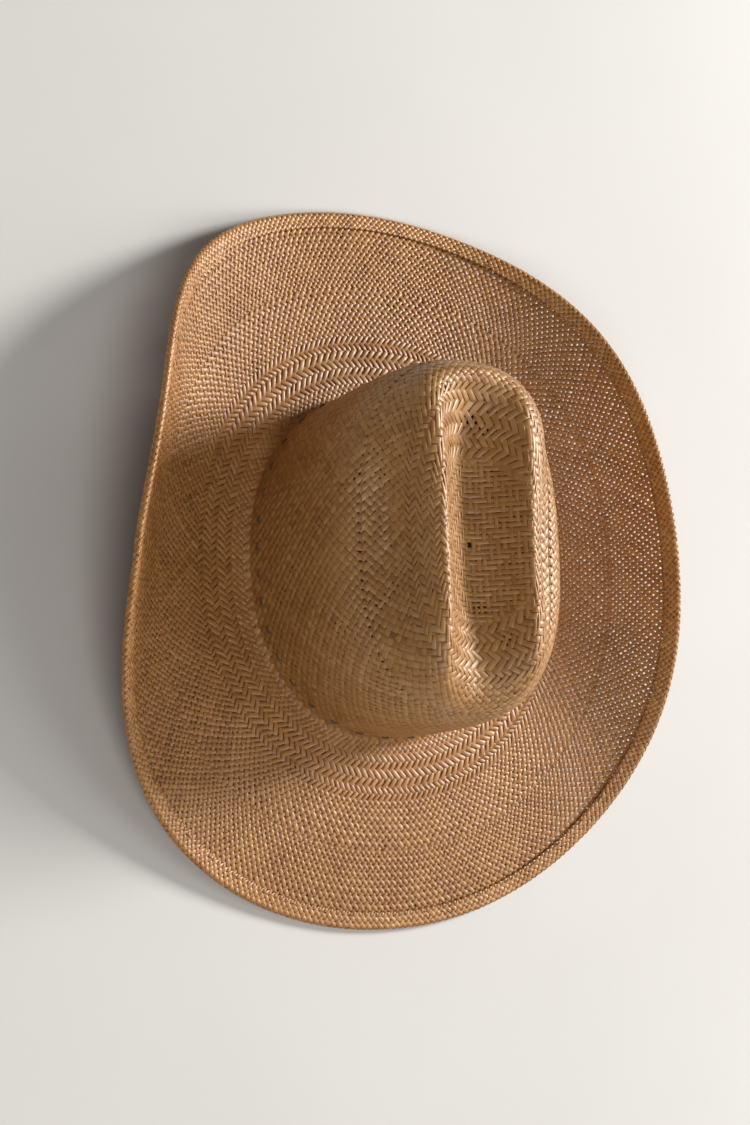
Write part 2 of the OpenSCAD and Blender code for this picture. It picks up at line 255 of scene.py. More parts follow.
def straw_grid():
    """The middle of the woven straw: w is 0 at the break, out along the brim and negative up the crown."""
    t = np.arange(720) / 2
    q = np.linspace(0, 89.8, 1200)
    coarse = crown_point(t[::6, None], q[None, :])
    length = np.concatenate([[0], np.cumsum(np.linalg.norm(np.diff(coarse, axis=1), axis=2).mean(0))])
    top = math.floor(length[-1] / STEP) * STEP
    q_rows = np.interp(np.arange(0, top + STEP / 2, STEP), length, q)
    crown = crown_point(t[None, :], q_rows[:, None])
    by_t = np.gradient(np.concatenate([crown[:, -2:], crown, crown[:, :2]], 1), axis=1)[:, 2:-2]
    by_q = np.gradient(crown, axis=0)
    normals = unit(np.cross(by_t, by_q))
    nx, ny = outward(t)
    normals[0] = np.stack([nx, ny, 0 * nx], -1)
    crown = crown - normals * STRAW / 2
    folded = blurred(blurred(crown, 8), 8)
    folded = rounded(rounded(folded, 6), 6)
    share = np.clip((np.arange(len(crown)) * STEP - 70) / 20, 0, 1)[:, None, None]
    crown = crown * (1 - share) + folded * share
    w = np.arange(0, 108 + STEP / 2, STEP)
    brim = brim_point(t[None, :], w[:, None] / 108 * brim_width(t)[None, :], 0)
    joined = np.concatenate([crown[:0:-1], brim])
    w_all = np.concatenate([-np.arange(len(crown) - 1, 0, -1) * STEP, w])
    near = np.clip(1.2 - np.abs(w_all) / 6, 0, 1)[:, None, None]
    joined = joined * (1 - near) + blurred(blurred(joined, 2), 2) * near
    welt = BREAK_WELT * np.exp(-((w_all / 1.1) ** 2))[:, None, None]
    joined = joined + welt * np.stack([nx, ny, 1 + 0 * nx], -1)
    return Grid(joined + REST, w_all[0]), top, (q_rows, length, q)


def hem_grid():
    """The middle of the hem's weave, from its upper inner edge round the rim to the lower one."""
    t = np.arange(720) / 2
    flat, turn = HEM_WIDTH - HEM_TURN, math.pi * 1.78
    path = np.arange(0, 2 * flat + turn + STEP / 2, STEP)
    angle = np.clip((path - flat) / turn, 0, 1) * math.pi
    inward = np.where(path < flat, HEM_WIDTH - path, HEM_TURN - HEM_BEND * np.sin(angle))
    inward = np.where(path > flat + turn, HEM_TURN + path - flat - turn, inward)
    level = HEM_RISE - 0.25 * np.clip((inward - HEM_TURN) / flat, 0, 1)
    level = level * np.cos(angle)
    return Grid(edge_point(t[None, :], inward[:, None], level[:, None]) + REST, 0.0), path[-1]


STRAW_GRID, CROWN_TOP, CROWN_TABLE = straw_grid()
HEM_GRID, HEM_LENGTH = hem_grid()


# ---- meshes ----

def mesh_object(name, points, quads, uv=None, values=None):
    """A mesh from arrays: points in mm, quads of point numbers, uv for each corner, values for each point."""
    mesh = bpy.data.meshes.new(name)
    mesh.vertices.add(len(points))
    mesh.vertices.foreach_set("co", (points * MM).astype(np.float32).ravel())
    mesh.loops.add(quads.size)
    mesh.loops.foreach_set("vertex_index", quads.astype(np.int32).ravel())
    mesh.polygons.add(len(quads))
    mesh.polygons.foreach_set("loop_start", np.arange(0, quads.size, 4, dtype=np.int32))
    mesh.polygons.foreach_set("loop_total", np.full(len(quads), 4, np.int32))
    mesh.polygons.foreach_set("use_smooth", np.full(len(quads), True))
    mesh.update(calc_edges=True)
    if uv is not None:
        layer = mesh.uv_layers.new(name="OFBake")
        layer.data.foreach_set("uv", uv.astype(np.float32).ravel())
    for key, data in (values or {}).items():
        kind = "FLOAT_VECTOR" if data.ndim == 2 else "FLOAT"
        attribute = mesh.attributes.new(key, kind, "POINT")
        attribute.data.foreach_set("vector" if data.ndim == 2 else "value", data.astype(np.float32).ravel())
    made = bpy.data.objects.new(name, mesh)
    bpy.context.scene.collection.objects.link(made)
    return made


def swept(sections, closed=True, around=True):
    """Quads and corner uv between neighbouring sections of shape (rows, corners, 3)."""
    rows, corners = sections.shape[:2]
    i = np.arange(rows if closed else rows - 1)
    j = np.arange(corners if around else corners - 1)
    i, j = (a.ravel() for a in np.meshgrid(i, j, indexing="ij"))
    i2, j2 = (i + 1) % rows, (j + 1) % corners
    quads = np.stack([i * corners + j, i * corners + j2, i2 * corners + j2, i2 * corners + j], -1)
    u, v = i / rows, j / corners
    du, dv = 1 / rows, 1 / corners
    uv = np.stack([np.stack([a, b], -1) for a, b in ((u, v), (u, v + dv), (u + du, v + dv), (u + du, v))], 1)
    return quads, uv * 0.98 + 0.01


def finished(made, material, node):
    """Gives a piece its material and its body, and hides the CAD node it stands for."""
    made.data.materials.append(material)
    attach(made, "root")
    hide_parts(node)
    return made


# A straw's cross-section, from its left edge to its right one: across in half widths, up in thicknesses.
SECTION = np.array([(-1, 0.25), (-0.8, 1), (0.8, 1), (1, 0.25)])
SECTION_V = np.array([0.04, 0.26, 0.44, 0.66, 0.94])   # where its sides lie across the straw's strip of uv
PAINTED_EDGE_SHADE = 0.22    # painted shade: how much darker a straw is painted at its edges, for the shade in the gaps between straws


def straws(centre, normal, half, tone, seed_ids, twist):
    """Flat straws swept along centre, of shape (straws, samples, 3): points, quads, uv and values."""
    count, samples = centre.shape[:2]
    along = unit(np.gradient(centre, axis=1))
    right = unit(np.cross(along, normal))
    up = unit(np.cross(right, along))
    c, s = np.cos(twist)[..., None], np.sin(twist)[..., None]
    right, up = right * c + up * s, up * c - right * s
    across = SECTION[:, 0][None, None, :, None] * half[..., None, None] * right[:, :, None]
    rise = (SECTION[:, 1][None, None, :, None] - 0.5) * STRAW_THICK * up[:, :, None]
    points = centre[:, :, None] + across + rise
    places = np.meshgrid(np.arange(count), np.arange(samples - 1), np.arange(4), indexing="ij")
    s, k, j = (a.ravel() for a in places)
    j2 = (j + 1) % 4
    base, following = (s * samples + k) * 4, (s * samples + k + 1) * 4
    quads = np.stack([base + j, base + j2, following + j2, following + j], -1)
    u0, u1 = k / (samples - 1) * 0.98 + 0.01, (k + 1) / (samples - 1) * 0.98 + 0.01
    v0, v1 = (s + SECTION_V[j]) / count, (s + SECTION_V[j + 1]) / count
    uv = np.stack([np.stack([a, b], -1) for a, b in ((u0, v0), (u0, v1), (u1, v1), (u1, v0))], 1)
    step = np.linalg.norm(np.diff(centre, axis=1), axis=2)
    run = np.concatenate([np.zeros((count, 1)), np.cumsum(step, 1)], 1)
    strand = np.empty(points.shape)
    strand[..., 0] = run[:, :, None]
    strand[..., 1] = SECTION[:, 0] * half[..., None]
    strand[..., 2] = seed_ids[:, None, None]
    # painted shade: the tone is darker at the straw's edge corners, for the shade between neighbouring straws
    tones = tone[..., None] - PAINTED_EDGE_SHADE * (np.abs(SECTION[:, 0]) > 0.9)
    return points.reshape(-1, 3), quads, uv, {"strand": strand.reshape(-1, 3), "tone": tones.reshape(-1)}


def merged(parts):
    """One mesh's arrays from several, with their uv side by side."""
    points, quads, uvs, strands, tones, first = [], [], [], [], [], 0
    weights = np.cumsum([0] + [len(p[1]) for p in parts]) / sum(len(p[1]) for p in parts)
    for n, (p, q, uv, values) in enumerate(parts):
        points.append(p)
        quads.append(q + first)
        uv = uv.copy()
        uv[..., 1] = weights[n] + uv[..., 1] * (weights[n + 1] - weights[n])
        uvs.append(uv)
        strands.append(values["strand"])
        tones.append(values["tone"])
        first += len(p)
    values = {"strand": np.concatenate(strands), "tone": np.concatenate(tones)}
    return np.concatenate(points), np.concatenate(quads), np.concatenate(uvs), values


# ---- weave ----

# twill is the rows of herringbone, the rest being plain weave. wave is how far a straw rises and sinks.
# stretch is a row's length against the straws' spacing round the hat. fill is the share of their spacing
# that the straws cover.
Look = namedtuple("Look", "twill wave stretch spacing fill")


def brim_fill(w, t):
    """Close near the crown, open further out, and more open on the left side than on the right."""
    closer = 0.05 * np.clip((w - 25) / 25, 0, 1) * (1 - np.cos(rad(t - 100))) / 2
    return np.interp(w, (5, 20, 42, 60), (0.96, 0.9, 0.81, 0.755)) + closer


BRIM = Look((4, 17), 0.25, 1.2, 3.75, brim_fill)
CROWN = Look((-10**6, -44), 0.19, 1.0, 4.9, lambda w, t: 0.945)
HEM = Look((0, 0), 0.24, 1.05, 4.0, lambda w, t: 0.87)


def over(row, twill):
    """1 where the first family of straws lies on top in that row, -1 where the second does."""
    return np.where((row >= twill[0]) & (row < twill[1]), 1 - 2 * ((row // 2) % 2), 1 - 2 * (row % 2))


def heights(place, twill):
    """Height of the first family at a place in rows, from -1 to 1, slightly crowned along each float."""
    low = np.floor(place).astype(int)
    part = place - low
    a, b = over(low, twill), over(low + 1, twill)
    blend = (1 - np.cos(np.pi * part)) / 2
    swell = np.where(a == b, 0.35 * a * np.sin(np.pi * part) ** 2, 0)
    return a * (1 - blend) + b * blend + swell


def wander(count, samples, waves, size):
    """Smooth random offsets along each straw."""
    s = np.linspace(0, 1, samples)[None, :]
    total = np.zeros((count, samples))
    for k in (1.0, 2.3, 4.1):
        start, share = RNG.random((count, 1)), RNG.normal(1, 0.3, (count, 1))
        total += np.sin(2 * np.pi * (s * waves * k + start)) / k * share
    return total * size


def worn(points):
    """Share of their width that straws keep at each point."""
    kept = np.ones(points.shape[:-1])
    for x, y, reach in WORN:
        far = np.hypot(points[..., 0] - x, points[..., 1] - y) / reach
        kept -= 0.27 * np.exp(-(far**4))
    return kept


def ring_of_straws(grid, look, start, rows, out, count, first_row, phase, family, angles):
    """One family of straws, 1 or -1, in a ring of the weave: count straws, each crossing rows rows."""
    per_row = 4
    place = np.arange(-TAIL * per_row, (rows + TAIL) * per_row + 1) / per_row
    table = ring_table(grid, start, out, 2 * np.pi / count * look.stretch)
    w = np.interp(place, table[0], table[1])
    turn = (np.arange(count)[:, None] + phase + family * out * place[None, :] / 2) / count
    t = np.interp(turn % 1, np.linspace(0, 1, 1441), angles)
    w = np.broadcast_to(w, t.shape)
    centre, normal = grid.point(t, w), grid.normal(t, w)
    nearby = np.interp((turn + 1 / count) % 1, np.linspace(0, 1, 1441), angles)
    beside = grid.point(nearby, w) - centre
    along = unit(np.gradient(centre, axis=1))
    gap = np.linalg.norm(beside - along * (beside * along).sum(-1, keepdims=True), axis=-1)
    side = unit(np.cross(along, normal))
    samples = len(place)
    half = gap / 2 * look.fill(w, t) * RNG.normal(1, 0.06, (count, 1))
    half = half * (1 + wander(count, samples, rows / 5, 0.05))
    signed = first_row + out * place
    floats = np.floor((signed + (0 if family > 0 else 2)) / 4).astype(int)
    loose = (RNG.random((count, 1)) < 0.02) | (RNG.random((count, 60)) < 0.015)[:, floats % 60]
    half = np.minimum(half * np.where(loose, 0.8, 1), gap * 0.51) * worn(centre)
    height = family * heights(signed, look.twill) * look.wave
    if grid is STRAW_GRID:
        height = height * (1 - PRESSED * np.exp(-((w / PRESSED_REACH) ** 2)))
    for ends in (-place, place - rows):
        sunk = height - (look.wave * DIVE + height) * np.clip(ends / TAIL, 0, 1)
        height = np.where(ends > 0, sunk, height)
    height = np.broadcast_to(height, gap.shape) + RNG.normal(0, 0.02, (count, 1))
    shift = wander(count, samples, rows / 7, 0.09)
    play = (gap - 2 * half * 0.98).clip(0.1, 1) * 2
    centre = centre + normal * height[..., None] + side * (shift * play)[..., None]
    tone = 0.5 + RNG.normal(0, 0.05, (count, 1)) + RNG.normal(0, 0.055, (count, 60))[:, floats % 60]
    twist = RNG.normal(0, 0.02, (count, 1)) + RNG.normal(0, 0.04, (count, 60))[:, floats % 60]
    twist = blurred(twist.T, 2).T
    return straws(centre, normal, half, tone, RNG.random(count), twist)


def ring_table(grid, start, out, delta):
    """Rows against w in a ring, so that the rows stay as long as the straws' spacing."""
    span = np.arange(-2, 90, 0.5)
    w = start + out * span
    rate = np.array([grid.speed(x) / (grid.perimeter(x) / (2 * np.pi)) for x in w])
    total = np.concatenate([[0], np.cumsum((rate[1:] + rate[:-1]) / 2 * 0.5)])
    total -= np.interp(0, span, total)
    return total / (delta / 2), w


def weave(name, grid, look, start, stop, material, node):
    """Rings of weave from w = start to stop; each ring adds or drops straws to keep their width even."""
    w, row, ring = start, 0, 1
    out = 1 if stop > start else -1
    while (stop - w) * out > 1.0:
        around = grid.perimeter(w)
        first = NARROWER if grid.perimeter(w + out * 4) > around else WIDER
        count = max(12, round(around / (look.spacing * first)))
        rows_at, w_at = ring_table(grid, w, out, 2 * np.pi / count * look.stretch)
        inside = (w_at - w) * out >= 0
        wide = np.array([grid.perimeter(x) / count for x in w_at])
        good = inside & (np.abs(wide / look.spacing - 1) < UNEVEN) & ((stop - w_at) * out >= 0)
        edge = np.nonzero(inside & ~good)[0]
        last = edge[0] if len(edge) else len(w_at) - 1
        rows = max(2, int(round(rows_at[last])))
        end = float(np.interp(rows, rows_at, w_at))
        middle, phase = grid.angles((w + end) / 2), RNG.random()
        for family, letter in ((1, "a"), (-1, "b")):
            part = ring_of_straws(grid, look, w, rows, out, count, row, phase, family, middle)
            finished(mesh_object(f"{name}_ring_{ring}{letter}", *part), material, node)
        row += out * (rows + 1)
        w = end + out * max(1.4, abs(end - w) / rows * 0.8)
        ring += 1


def cap_place(x, y):
    """t and w of the crown's surface above a point of its top, and how far out that is, from 0 to 1."""
    t = np.arange(0, 360, 0.5)
    reach = TOP_FRONT * (1 + np.cos(rad(t))) / 2 + TOP_BACK * (1 - np.cos(rad(t))) / 2
    px, py = oval(t, HALF_LENGTH, HALF_WIDTH, TOP_POWER)
    px, py = px * reach / HALF_LENGTH, py * TOP_SIDE / HALF_WIDTH
    angle = np.degrees(np.arctan2(py, px)) % 360
    here = np.degrees(np.arctan2(y, x)) % 360
    found = np.interp(here, np.append(angle, 360), np.append(t, 360))
    full = np.interp(here, np.append(angle, 360), np.hypot(np.append(px, px[0]), np.append(py, py[0])))
    share = np.hypot(x, y) / full
    q_rows = CROWN_TABLE[0]
    w = -np.interp(np.degrees(np.arctan2(1, np.maximum(share, 1e-4))), q_rows, np.arange(len(q_rows)) * STEP)
    return found, w, share


def cap(material, node):
    """The square weave at the middle of the crown, with straws along and across the hat."""
    pitch, parts, per_cell = CAP_PITCH, [], 4
    for family in (0, 1):
        for i in range(-20, 20):
            offset = (i + 0.5) * pitch
            run = np.arange(-20 * per_cell, 20 * per_cell + 1) / per_cell
            line = np.full(run.shape, offset)
            x, y = (run * pitch, line) if family == 0 else (line, run * pitch)
            share = cap_place(x, y)[2]
            keep = np.nonzero(share < CAP_SHARE + 0.03)[0]
            if len(keep) < 9:
                continue
            keep = np.arange(keep[0], keep[-1] + 1)
            x, y, share, run_here = x[keep], y[keep], share[keep], run[keep]
            drift = wander(1, len(keep), 2, 0.12)[0]
            x, y = (x, y + drift) if family == 0 else (x + drift, y)
            t, w, _ = cap_place(x, y)
            centre, normal = STRAW_GRID.point(t, w), STRAW_GRID.normal(t, w)
            cell = run_here - 0.5
            low = np.floor(cell).astype(int)
            state = [1 - 2 * (((abs(i) + abs(k)) // 2) % 2) for k in range(-40, 40)]
            a, b = np.array(state)[low + 40], np.array(state)[low + 41]
            blend = (1 - np.cos(np.pi * (cell - low))) / 2
            height = (a * (1 - blend) + b * blend) * CROWN.wave * (1 if family == 0 else -1)
            height -= (height + CROWN.wave * DIVE) * np.clip((share - CAP_SHARE) / 0.03, 0, 1)
            centre = centre + normal * height[:, None]
            half = pitch / 2 * 0.94 * RNG.normal(1, 0.05) * worn(centre)[None]
            tone = 0.5 + RNG.normal(0, 0.05) + RNG.normal(0, 0.055, 40)[(low // 2) % 40][None, :]
            twist = np.full((1, len(keep)), RNG.normal(0, 0.03))
            parts.append(straws(centre[None], normal[None], half, tone, RNG.random(1), twist))
    piece = mesh_object("crown_cap", *merged(parts))
    return finished(piece, material, node)


# ---- materials ----

def node_tree(name):
    material = bpy.data.materials.new(name)
    material.use_nodes = True
    tree = material.node_tree
    tree.nodes.clear()
    return material, tree


def add(tree, kind, inputs=None, **settings):
    made = tree.nodes.new(kind)
    for key, value in settings.items():
        setattr(made, key, value)
    for key, value in (inputs or {}).items():
        if isinstance(value, bpy.types.NodeSocket):
            tree.links.new(value, made.inputs[key])
        else:
            made.inputs[key].default_value = value
    return made


def ramp(tree, factor, stops):
    made = add(tree, "ShaderNodeValToRGB", {"Fac": factor})
    elements = made.color_ramp.elements
    while len(elements) < len(stops):
        elements.new(0.5)
    for element, (place, colour) in zip(elements, stops):
        element.position = place
        element.color = (*colour, 1)
    return made.outputs["Color"]


def maths(tree, operation, a, b=0.0, c=0.0):
    made = add(tree, "ShaderNodeMath", {0: a, 1: b, 2: c}, operation=operation)
    return made.outputs[0]


def noise(tree, vector, scale, detail):
    inputs = {"Vector": vector, "Scale": scale, "Detail": detail}
    return add(tree, "ShaderNodeTexNoise", inputs).outputs["Fac"]


def bump(tree, height, strength, distance):
    inputs = {"Height": height, "Strength": strength, "Distance": distance}
    return add(tree, "ShaderNodeBump", inputs).outputs["Normal"]


def object_place(tree):
    return add(tree, "ShaderNodeTexCoord").outputs["Object"]


def scaled(tree, vector, factors):
    return add(tree, "ShaderNodeVectorMath", {0: vector, 1: factors}, operation="MULTIPLY").outputs[0]


def principled(tree, colour, rough, **others):
    """others are further inputs, with _ for the spaces in their names."""
    inputs = {"Base Color": colour, "Roughness": rough}
    inputs.update({key.replace("_", " "): value for key, value in others.items()})
    return add(tree, "ShaderNodeBsdfPrincipled", inputs).outputs[0]


def finish_material(tree, shader):
    out = add(tree, "ShaderNodeOutputMaterial")
    tree.links.new(shader, out.inputs["Surface"])


def straw_material(name, light=0.0, glow=0.2, tint=(1.0, 1.0, 1.0)):
    """Dyed palm straw: fibres along each straw, uneven colour, satin gloss, light coming through."""
    material, tree = node_tree(name)
    strand = add(tree, "ShaderNodeAttribute", attribute_name="strand").outputs["Vector"]
    # tone holds each straw's random tone and the painted shade at its edges
    tone = add(tree, "ShaderNodeAttribute", attribute_name="tone").outputs["Fac"]
    fibres = noise(tree, scaled(tree, strand, (0.11, 2.6, 41.0)), 1.0, 3.0)
    place = object_place(tree)
    mix = maths(tree, "MULTIPLY_ADD", fibres, 0.4, tone)
    mix = maths(tree, "MULTIPLY_ADD", noise(tree, place, 38.0, 2.0), 0.3, mix)
    mix = maths(tree, "MULTIPLY_ADD", noise(tree, place, 420.0, 2.0), 0.24, mix)
    mix = maths(tree, "SUBTRACT", mix, 0.47 - light)
    stops = [(0.0, (0.2, 0.066, 0.01)), (0.3, (0.37, 0.15, 0.03)), (0.55, (0.5, 0.235, 0.06)),
             (0.8, (0.6, 0.33, 0.115)), (1.0, (0.7, 0.45, 0.22))]
    # tint makes a paler copy of the straw; for the crown it is painted light
    colour = ramp(tree, mix, [(at, tuple(a * b for a, b in zip(shade, tint))) for at, shade in stops])
    rough = maths(tree, "MULTIPLY_ADD", fibres, 0.22, 0.36)
    surface = principled(tree, colour, rough, Normal=bump(tree, fibres, 0.35, 0.00012), IOR=1.5,
                         Specular_IOR_Level=0.7, Coat_Weight=0.5, Coat_Roughness=0.36)
    warm = ramp(tree, mix, [(0.0, (0.6, 0.19, 0.02)), (1.0, (0.95, 0.45, 0.1))])
    through = add(tree, "ShaderNodeBsdfTranslucent", {"Color": warm}).outputs[0]
    both = add(tree, "ShaderNodeMixShader", {"Fac": glow, 1: surface, 2: through})
    finish_material(tree, both.outputs[0])
    return material


def leather_material():
    """Dark brown leather with fine cells and worn, paler patches."""
    material, tree = node_tree("band_leather")
    place = object_place(tree)
    grain = add(tree, "ShaderNodeTexVoronoi", {"Vector": place, "Scale": 900.0}).outputs["Distance"]
    wear = noise(tree, place, 260.0, 3.0)
    mix = maths(tree, "MULTIPLY_ADD", wear, 0.4, noise(tree, place, 45.0, 4.0))
    colour = ramp(tree, mix, [
        (0.35, (0.1, 0.042, 0.018)), (0.65, (0.17, 0.078, 0.034)), (0.95, (0.27, 0.14, 0.066))])
    rough = maths(tree, "MULTIPLY_ADD", wear, 0.3, 0.3)
    surface = principled(tree, colour, rough, Normal=bump(tree, grain, 0.25, 0.0002), Coat_Weight=0.1)
    finish_material(tree, surface)
    return material


def cloth_material(name, dark, pale, scale, rough=0.8):
    """Thread, tape, ribbon or woven tag: fine ribs in one direction and uneven colour."""
    material, tree = node_tree(name)
    place = object_place(tree)
    wave = {"Vector": place, "Scale": scale, "Distortion": 1.5, "Detail": 1.0}
    ribs = add(tree, "ShaderNodeTexWave", wave, bands_direction="DIAGONAL").outputs["Fac"]
    mix = maths(tree, "MULTIPLY_ADD", ribs, 0.35, noise(tree, place, 300.0, 3.0))
    colour = ramp(tree, mix, [(0.3, dark), (0.9, pale)])
    surface = principled(tree, colour, rough, Normal=bump(tree, ribs, 0.4, 0.0001), Sheen_Weight=0.3)
    finish_material(tree, surface)
    return material


def reed_material():
    """Brown plastic with fine drawn lines and a soft gloss."""
    material, tree = node_tree("reed_plastic")
    place = object_place(tree)
    lines, cloud = noise(tree, place, 700.0, 2.0), noise(tree, place, 60.0, 3.0)
    mix = maths(tree, "MULTIPLY_ADD", lines, 0.3, cloud)
    colour = ramp(tree, mix, [(0.4, (0.07, 0.032, 0.015)), (0.9, (0.15, 0.075, 0.036))])
    rough = maths(tree, "MULTIPLY_ADD", cloud, 0.2, 0.25)
    finish_material(tree, principled(tree, colour, rough, Normal=bump(tree, lines, 0.2, 0.0001)))
    return material


def metal_material(name, dark, pale, rough):
    """Drawn or plated metal with dull patches."""
    material, tree = node_tree(name)
    cloud = noise(tree, object_place(tree), 500.0, 4.0)
    colour = ramp(tree, cloud, [(0.3, dark), (0.7, pale)])
    dull = maths(tree, "MULTIPLY_ADD", cloud, 0.3, rough)
    finish_material(tree, principled(tree, colour, dull, Metallic=1.0))
    return material


# ---- trim ----

def tube(paths, radius, sides, twist=0.0):
    """Round threads along paths of shape (count, samples, 3), with a two-ply twist pressed into them."""
    count, samples = paths.shape[:2]
    along = unit(np.gradient(paths, axis=1))
    up = unit(np.cross(along, np.array([0.13, 0.21, 0.97])))
    side = np.cross(along, up)
    step = np.linalg.norm(np.diff(paths, axis=1), axis=2)
    run = np.concatenate([np.zeros((count, 1)), np.cumsum(step, 1)], 1)
    a = np.arange(sides) / sides * 2 * np.pi
    lobes = 1 + (0.2 * np.cos(2 * (a[None, None, :] - run[..., None] * twist)) if twist else 0)
    r = radius * lobes * np.ones((count, samples, sides))
    outward_to = up[:, :, None] * np.cos(a)[:, None] + side[:, :, None] * np.sin(a)[:, None]
    points = paths[:, :, None] + outward_to * r[..., None]
    one, uv_one = swept(points[0], closed=False)
    quads = np.concatenate([one + n * samples * sides for n in range(count)])
    uvs = []
    for n in range(count):
        uv = uv_one.copy()
        uv[..., 1] = (n + uv[..., 1]) / count
        uvs.append(uv)
    return points.reshape(-1, 3), quads, np.concatenate(uvs)


def arched(n):
    """Share of the full height along a stitch, sunk at both ends."""
    s = np.linspace(-1, 1, n)
    return s, 1 - np.abs(s) ** 6


def hem_stitch_threads():
    s, arch = arched(13)
    paths = []
    for face in (1, -1):
        for i in range(HEM_STITCHES):
            t = 360 * (i + 0.5) / HEM_STITCHES + s * 0.62
            level = face * (1.15 + 1.0 * arch)
            paths.append(edge_point(t, HEM_STITCH_IN, level) + REST)
    return mesh_object("hem_thread", *tube(np.array(paths), 0.27, 8, twist=1.6))


def band_stitch_threads():
    s, arch = arched(13)
    paths = []
    for d_low, d_high in ((1.0, -0.12), (BAND_IN + BAND_THICK - 0.6, BAND_IN + BAND_THICK + 0.3)):
        for i in range(BAND_STITCHES):
            t = 360 * (i + 0.5) / BAND_STITCHES
            nx, ny = outward(t)
            along = np.array([-ny, nx, 0]) * (s * STITCH_LENGTH / 2)[:, None]
            paths.append(lining_point(t, STITCH_HEIGHT, d_low + (d_high - d_low) * arch) + along + REST)
    return mesh_object("band_thread", *tube(np.array(paths), 0.42, 8, twist=1.2))


def seam_threads():
    """A cross stitch up the back seam of the sweatband."""
    s, arch = arched(13)
    paths = []
    for k in range(8):
        low = BAND_START + 2 + k * (TAG_LOW - 4) / 8
        d = BAND_IN + BAND_THICK - 0.35 + 0.65 * arch
        line = lining_point(np.full(13, 180.0), low + 0.5 * (s + 1), d)
        paths.append(line + np.stack([0 * s, 2.2 * s, 0 * s], -1) + REST)
    return mesh_object("seam_thread", *tube(np.array(paths), 0.22, 8, twist=1.8))


def lining_ring(name, profile, ripple=0.0, seam=0.0):
    """A strip round the inside of the crown, from a closed profile of (height, depth) pairs."""
    t = np.arange(720) / 2
    h, d = (np.array(a)[None, :] for a in zip(*profile))
    wave = sum(np.sin(rad(t * k + 70 * k)) / k for k in (5, 9, 14))[:, None] * ripple
    near = np.exp(-(((t[:, None] - 180) / 0.55) ** 2)) * seam
    inner = (d > d.mean()).astype(float)
    points = lining_point(t[:, None], h, d + wave * inner * (h / BAND_HEIGHT) ** 2 - near * inner) + REST
    quads, uv = swept(points)
    return mesh_object(name, points.reshape(-1, 3), quads, uv)


def band_profile():
    """Outer face up, rolled top edge, inner face down with a tooled line under the top and above the reed."""
    low, high = BAND_START, BAND_START + BAND_HEIGHT
    out, inn = BAND_IN, BAND_IN + BAND_THICK
    middle, r = (out + inn) / 2, BAND_THICK / 2
    turn = np.linspace(0, np.pi, 9)[:-1]
    rising = [(low + 0.2, out), (low + 10, out), (low + 21, out)]
    rolled = [(high - r + r * math.sin(a), middle - r * math.cos(a)) for a in turn]
    cuts = [(high - 2.6, 0), (high - 2.85, 0.22), (high - 3.1, 0)]
    cuts += [(low + 20, 0.05), (low + 14, 0.08), (low + 9.6, 0.05)]
    cuts += [(low + 9.0, 0), (low + 8.3, 0.3), (low + 7.6, 0)]
    cuts += [(low + 4, 0), (low + 0.6, 0.1), (low + 0.1, 0.5)]
    return rising + rolled + [(h, inn - cut) for h, cut in cuts]


def reed_ring():
    t = np.arange(1440) / 4
    a = np.arange(14) / 14 * 2 * np.pi
    pinch = 1 + 0.03 * np.sin(rad(t * 96))[:, None] * (np.cos(a) > 0) + 0.02 * np.sin(rad(t * 37))[:, None]
    points = lining_point(t[:, None], 0, REED_IN - REED_RADIUS * pinch * np.cos(a)[None, :])
    points[..., 2] += REED_RADIUS * pinch * np.sin(a) - REED_RADIUS * 0.3 - STRAW / 2
    quads, uv = swept(points + REST)
    return mesh_object("sweatband_piping", (points + REST).reshape(-1, 3), quads[:, ::-1], uv[:, ::-1])


def tape_ring():
    """Cotton tape with a woven selvedge on both edges."""
    low, high, d, e = BAND_START, BAND_START + TAPE_HEIGHT, TAPE_IN, TAPE_IN + TAPE_THICK
    outer = [(h, d + (0.0 if 1 < h - low < TAPE_HEIGHT - 1 else 0.08)) for h in np.linspace(low, high, 13)]
    inner = [(h, e - (0.0 if 1 < h - low < TAPE_HEIGHT - 1 else 0.08)) for h in np.linspace(high, low, 13)]
    return lining_ring("cotton_tape", outer + inner)


def wire_ring():
    """The hem's wire, with the slight waves of wire bent by hand and a drawn surface."""
    t = 180.6 + np.arange(721) / 720 * 358.8
    path = edge_point(t, WIRE_IN + 0.04 * np.sin(rad(t * 11)), 0.04 * np.sin(rad(t * 7))) + REST
    return mesh_object("hem_wire", *tube(path[None], WIRE_RADIUS, 12))


def ferrule():
    """The tube that joins the wire's ends, crimped twice on each side and flared at its mouths."""
    s = np.linspace(-7, 7, 57)
    crimp = sum(np.exp(-(((s - c) / 0.5) ** 2)) for c in (-4.6, -2.6, 2.6, 4.6))
    flare = np.clip((np.abs(s) - 6.3) / 0.7, 0, 1)
    a = np.arange(24) / 24 * 2 * np.pi
    flat = 1 - 0.12 * crimp[:, None] * (1 + np.cos(2 * a)[None, :]) / 2
    outer = (1.05 + 0.05 * flare)[:, None] * flat
    inner = np.maximum(outer - 0.2, 0.84)
    middle = edge_point(180.0, WIRE_IN, 0) + REST
    r = np.concatenate([outer, inner[::-1]])
    y = np.concatenate([s, s[::-1]])[:, None] + 0 * r
    points = np.stack([r * np.cos(a), y, r * np.sin(a)], -1) + middle
    quads, uv = swept(points)
    return mesh_object("wire_joint", points.reshape(-1, 3), quads, uv)


